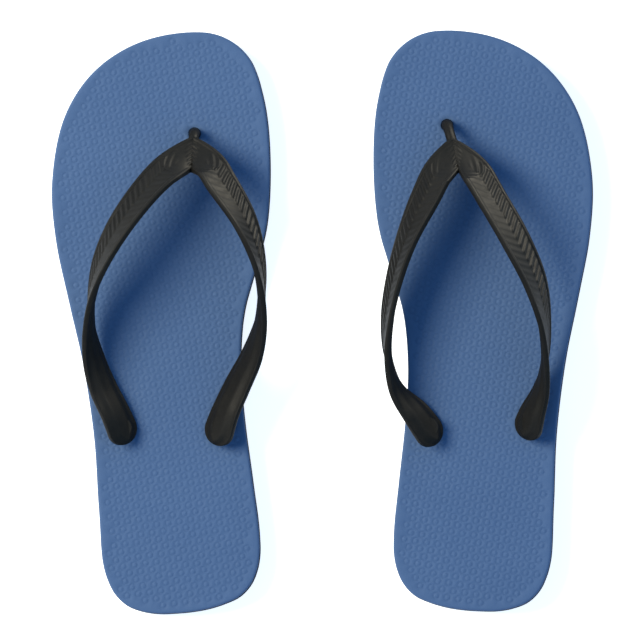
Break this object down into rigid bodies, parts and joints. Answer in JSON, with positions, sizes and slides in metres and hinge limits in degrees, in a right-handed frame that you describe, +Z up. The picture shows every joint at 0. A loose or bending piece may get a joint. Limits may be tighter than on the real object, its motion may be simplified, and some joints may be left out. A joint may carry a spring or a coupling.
{
  "type": "flip flop",
  "caption": "Pair of rubber flip-flops, each a layered sole with a textured footbed and a Y-shaped thong strap of twisted ribbon held by plugs.",
  "frame": {"origin": "on the floor, at the middle of the pair's footprint", "axes": "+X to the wearer's right, +Y from heel to toe, +Z up"},
  "size_m": [0.2556, 0.276, 0.0539],
  "materials": {
    "footbed_rubber": "matt foamed rubber with a fine ring texture",
    "outsole_rubber": "matt black foamed rubber",
    "strap_rubber": "satin moulded rubber with ribs"
  },
  "bodies": {
    "left_forefoot": {"left_outsole_forefoot": "outsole_rubber", "left_footbed_forefoot": "footbed_rubber", "left_toe_plug": "strap_rubber"},
    "left_heel": {"left_outsole_heel": "outsole_rubber", "left_footbed_heel": "footbed_rubber", "left_inner_plug": "strap_rubber", "left_outer_plug": "strap_rubber"},
    "left_strap": {"left_strap": "strap_rubber"},
    "right_forefoot": {"right_outsole_forefoot": "outsole_rubber", "right_footbed_forefoot": "footbed_rubber", "right_toe_plug": "strap_rubber"},
    "right_heel": {"right_outsole_heel": "outsole_rubber", "right_footbed_heel": "footbed_rubber", "right_inner_plug": "strap_rubber", "right_outer_plug": "strap_rubber"},
    "right_strap": {"right_strap": "strap_rubber"}
  },
  "joints": [
    {"name": "pair_spacing", "type": "slide", "parent": "left_forefoot", "child": "right_forefoot", "axis": [1, 0, 0], "range_m": [-0.02, 0.1]},
    {"name": "left_sole_flex", "type": "hinge", "parent": "left_forefoot", "child": "left_heel", "pos_m": [-0.07467, 0.03425, 0.016], "axis": [-0.9985, -0.0551, 0], "range_deg": [0, 35], "stiffness_Nm_per_rad": 1.5},
    {"name": "left_strap_follow", "type": "hinge", "parent": "left_heel", "child": "left_strap", "pos_m": [-0.06949, -0.0596, 0.016], "axis": [-0.9985, -0.0551, 0], "range_deg": [-14.5, 0]},
    {"name": "right_sole_flex", "type": "hinge", "parent": "right_forefoot", "child": "right_heel", "pos_m": [0.07529, 0.03544, 0.016], "axis": [-0.9996, 0.029, 0], "range_deg": [0, 35], "stiffness_Nm_per_rad": 1.5},
    {"name": "right_strap_follow", "type": "hinge", "parent": "right_heel", "child": "right_strap", "pos_m": [0.07257, -0.05852, 0.016], "axis": [-0.9996, 0.029, 0], "range_deg": [-14.5, 0]}
  ],
  "couplings": [
    {"joint": "left_strap_follow", "follows": "left_sole_flex", "ratio": -0.405},
    {"joint": "right_strap_follow", "follows": "right_sole_flex", "ratio": -0.405}
  ]
}
